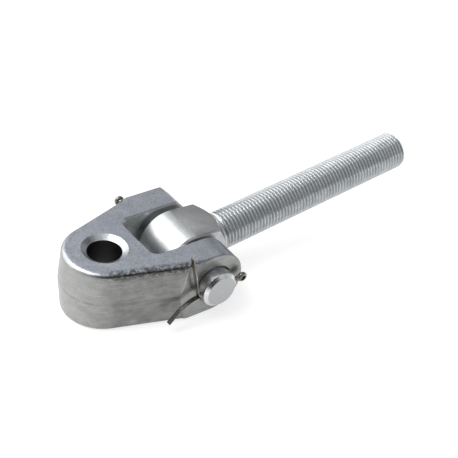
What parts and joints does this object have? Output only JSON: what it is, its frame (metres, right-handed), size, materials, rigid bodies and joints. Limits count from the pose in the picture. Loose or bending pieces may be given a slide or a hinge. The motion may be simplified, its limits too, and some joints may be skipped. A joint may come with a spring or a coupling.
{
  "type": "knuckle-jointed fork end for a threaded rod",
  "caption": "Forged steel fork with a nose bore, pinned to the eye of a zinc-plated threaded rod that swings in its slot, with split pins in the clevis pin.",
  "frame": {"origin": "centre of the fork's nose bore at half the fork's height", "axes": "+Z along the nose bore, +X from the nose towards the clevis pin and the threaded rod, +Y along the clevis pin"},
  "size_m": [0.3118, 0.109, 0.0668],
  "materials": {
    "forged_steel": "zinc-plated forging, satin, with machined faces and fine scratches",
    "plated_rod": "bright zinc-plated",
    "plated_pin": "zinc-plated, satin",
    "bright_wire": "bright zinc-plated wire"
  },
  "bodies": {
    "fork_body": {"fork": "forged_steel"},
    "rod_body": {"eye_bolt": "plated_rod"},
    "pin_body": {"clevis_pin": "plated_pin", "split_pin_near": "bright_wire", "split_pin_far": "bright_wire"}
  },
  "joints": [
    {"name": "rod_swing", "type": "hinge", "parent": "fork_body", "child": "rod_body", "pos_m": [0.065, 0, 0], "axis": [0, -1, 0], "range_deg": [-132.3, 117.7]},
    {"name": "pin_turn", "type": "hinge", "parent": "fork_body", "child": "pin_body", "pos_m": [0.065, 0, 0], "axis": [0, 1, 0], "continuous": true}
  ]
}
